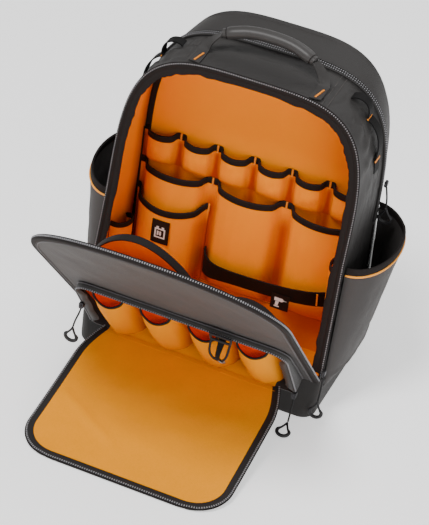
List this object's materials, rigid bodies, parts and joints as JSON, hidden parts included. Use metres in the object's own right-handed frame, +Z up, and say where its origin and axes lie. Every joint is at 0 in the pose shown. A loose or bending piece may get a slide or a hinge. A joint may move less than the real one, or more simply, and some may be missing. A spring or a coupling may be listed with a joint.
{
  "type": "tool backpack",
  "caption": "Tool backpack standing open: drop-down front panel with pouches, orange lining with pleated tool pockets, side pockets, top handle, moulded base.",
  "frame": {"origin": "centre of the base's underside, on the floor", "axes": "+Z up, front towards -Y, +X to the right of a viewer in front"},
  "size_m": [0.4568, 0.5319, 0.486],
  "materials": {
    "outer_cloth": "matte woven polyester",
    "panel_cloth": "matte woven polyester, a little lighter",
    "boot": "matte coated",
    "black_trim": "matte webbing binding",
    "zip": "satin",
    "orange_lining": "smooth woven, slightly shiny",
    "bright_lining": "smooth woven, slightly shiny",
    "red_lining": "smooth woven",
    "webbing": "ribbed webbing",
    "grip": "satin",
    "back_mesh": "open mesh",
    "label": "satin",
    "clip": "polished",
    "slider": "satin",
    "pull_cord": "braided",
    "pull_loop": "satin"
  },
  "bodies": {
    "root": {"body_shell": "outer_cloth", "back_shell": "outer_cloth", "front_gusset": "outer_cloth", "flap_outer": "outer_cloth", "side_pocket_left": "outer_cloth", "side_pocket_right": "outer_cloth", "strap_pad_left": "outer_cloth", "strap_pad_right": "outer_cloth", "door_panel": "panel_cloth", "boot": "boot", "opening_rim": "black_trim", "door_rim": "black_trim", "row_1_binding": "black_trim", "row_2_binding": "black_trim", "row_3_binding": "black_trim", "pouch_binding": "black_trim", "side_pocket_left_binding": "black_trim", "side_pocket_right_binding": "black_trim", "ridge_zip": "zip", "lining_shell": "orange_lining", "lining_floor": "orange_lining", "back_wall": "orange_lining", "pocket_row_1": "orange_lining", "pocket_row_2": "orange_lining", "pocket_row_3": "orange_lining", "wall_pocket_left": "orange_lining", "wall_pocket_right": "orange_lining", "door_lining": "orange_lining", "door_pocket_left": "orange_lining", "door_pocket_right": "orange_lining", "pouch_row": "bright_lining", "flap_lining": "bright_lining", "front_pocket_back": "red_lining", "key_strap": "webbing", "tool_strap": "webbing", "handle_web_left": "webbing", "handle_web_right": "webbing", "daisy_web_left": "webbing", "daisy_web_right": "webbing", "strap_web_left": "webbing", "strap_web_right": "webbing", "handle_grip": "grip", "back_pad": "back_mesh", "battery_label": "label", "drill_label": "label", "key_clip": "clip", "main_pull_slider": "slider", "main_pull_cord": "pull_cord", "main_pull_loop": "pull_loop", "pocket_pull_left_slider": "slider", "pocket_pull_left_cord": "pull_cord", "pocket_pull_left_loop": "pull_loop", "pocket_pull_right_slider": "slider", "pocket_pull_right_cord": "pull_cord", "pocket_pull_right_loop": "pull_loop", "rear_pull_slider": "slider", "rear_pull_cord": "pull_cord", "rear_pull_loop": "pull_loop"}
  },
  "joints": []
}
